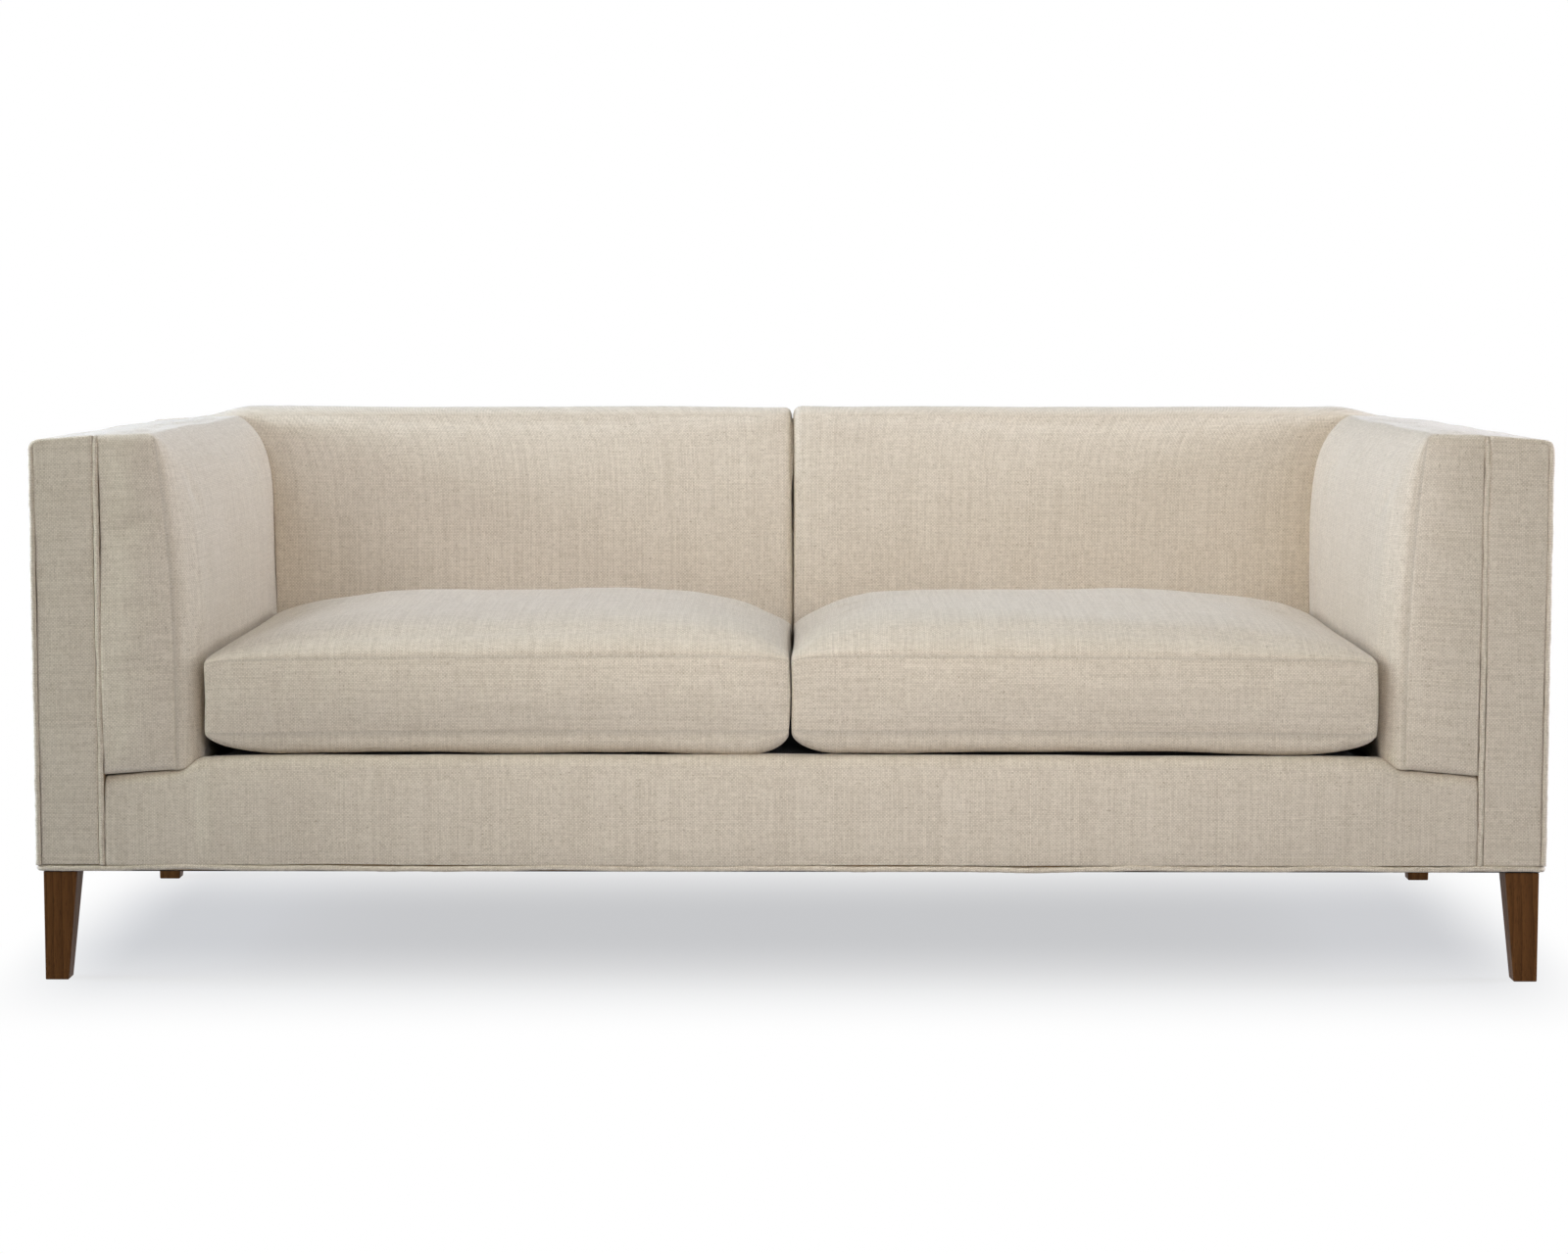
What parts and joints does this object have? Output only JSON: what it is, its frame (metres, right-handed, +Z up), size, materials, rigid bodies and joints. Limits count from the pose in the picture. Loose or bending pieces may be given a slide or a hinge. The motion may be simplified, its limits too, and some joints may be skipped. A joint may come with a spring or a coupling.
{
  "type": "even-arm sofa",
  "caption": "Linen-covered sofa with straight arms almost as high as its split tight back, loose boxed seat cushions, corded welts and tapered wooden legs.",
  "frame": {"origin": "on the floor, under the middle of the sofa's width and depth", "axes": "+X towards the arm that is on the right when seen from the front, +Y towards the back, +Z up"},
  "size_m": [2.134, 0.914, 0.792],
  "materials": {
    "linen": "matt plain-weave linen",
    "black_cloth": "matt cambric",
    "walnut": "satin walnut stain",
    "frame_wood": "sawn hardwood",
    "fibreboard": "hardboard",
    "foam": "cut upholstery foam",
    "strap": "woven elastic strap",
    "spring_steel": "drawn wire",
    "zinc_steel": "zinc plated"
  },
  "bodies": {
    "sofa_frame": {"front_seat_rail": "frame_wood", "rear_seat_rail": "frame_wood", "centre_stretcher": "frame_wood", "top_back_rail": "frame_wood", "centre_back_post": "frame_wood", "left_side_rail": "frame_wood", "right_side_rail": "frame_wood", "left_front_post": "frame_wood", "right_front_post": "frame_wood", "left_back_post": "frame_wood", "right_back_post": "frame_wood", "left_arm_top_rail": "frame_wood", "right_arm_top_rail": "frame_wood", "left_back_tack_rail": "frame_wood", "right_back_tack_rail": "frame_wood", "left_front_leg_block": "frame_wood", "left_rear_leg_block": "frame_wood", "right_front_leg_block": "frame_wood", "right_rear_leg_block": "frame_wood", "left_arm_liner": "fibreboard", "right_arm_liner": "fibreboard", "left_front_leg_bolt": "zinc_steel", "left_rear_leg_bolt": "zinc_steel", "right_front_leg_bolt": "zinc_steel", "right_rear_leg_bolt": "zinc_steel", "left_front_leg": "walnut", "left_rear_leg": "walnut", "right_front_leg": "walnut", "right_rear_leg": "walnut", "seat_springs": "spring_steel", "back_straps": "strap", "seat_deck_pad": "foam", "seat_deck_cloth": "black_cloth", "dust_cover": "black_cloth", "front_border": "linen", "outside_back": "linen", "base_welt": "linen", "left_arm_pad": "linen", "right_arm_pad": "linen", "left_back_pad": "linen", "right_back_pad": "linen", "left_outside_arm": "linen", "right_outside_arm": "linen", "left_arm_facing": "linen", "right_arm_facing": "linen", "left_outer_welt": "linen", "right_outer_welt": "linen", "left_inner_welt": "linen", "right_inner_welt": "linen"},
    "left_cushion": {"left_cushion_cover": "linen", "left_cushion_core": "foam", "left_cushion_zip": "linen"},
    "left_slider": {"left_zip_slider": "zinc_steel"},
    "right_cushion": {"right_cushion_cover": "linen", "right_cushion_core": "foam", "right_cushion_zip": "linen"},
    "right_slider": {"right_zip_slider": "zinc_steel"}
  },
  "joints": [
    {"name": "left_cushion_lift", "type": "slide", "parent": "sofa_frame", "child": "left_cushion", "axis": [0, 0, 1], "range_m": [0, 0.45]},
    {"name": "left_zip_run", "type": "slide", "parent": "left_cushion", "child": "left_slider", "axis": [1, 0, 0], "range_m": [0, 0.536]},
    {"name": "right_cushion_lift", "type": "slide", "parent": "sofa_frame", "child": "right_cushion", "axis": [0, 0, 1], "range_m": [0, 0.45]},
    {"name": "right_zip_run", "type": "slide", "parent": "right_cushion", "child": "right_slider", "axis": [-1, 0, 0], "range_m": [0, 0.536]}
  ]
}
